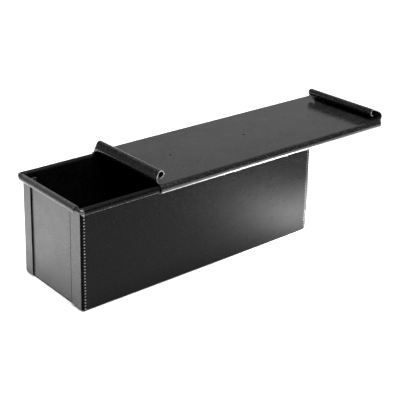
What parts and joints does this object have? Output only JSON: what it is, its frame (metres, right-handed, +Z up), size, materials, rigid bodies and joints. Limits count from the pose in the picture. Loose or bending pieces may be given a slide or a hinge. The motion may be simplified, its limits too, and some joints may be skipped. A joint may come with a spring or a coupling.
{
  "type": "loaf pan",
  "caption": "Long straight-sided bread pan of coated sheet steel with a wired rim and a vented lid that slides along it on curled hems, a rolled handle at each end.",
  "frame": {"origin": "centre of the pan's underside", "axes": "+X along the pan, towards the end the lid slides off; +Y across the pan; +Z up"},
  "size_m": [0.39, 0.1126, 0.1143],
  "materials": {
    "pan_coating": "semi-gloss black non-stick coating on sheet steel",
    "end_coating": "semi-gloss black non-stick coating on sheet steel",
    "lid_coating": "smooth semi-gloss black coating with a fine speckle",
    "wire_steel": "drawn steel wire, darkened"
  },
  "bodies": {
    "pan": {"body_wrap": "pan_coating", "end_panel_front": "end_coating", "end_panel_rear": "end_coating", "rim_wire": "wire_steel"},
    "lid": {"sliding_lid": "lid_coating"}
  },
  "joints": [
    {"name": "lid_slide", "type": "slide", "parent": "pan", "child": "lid", "axis": [1, 0, 0], "range_m": [-0.0915, 0.205]}
  ]
}
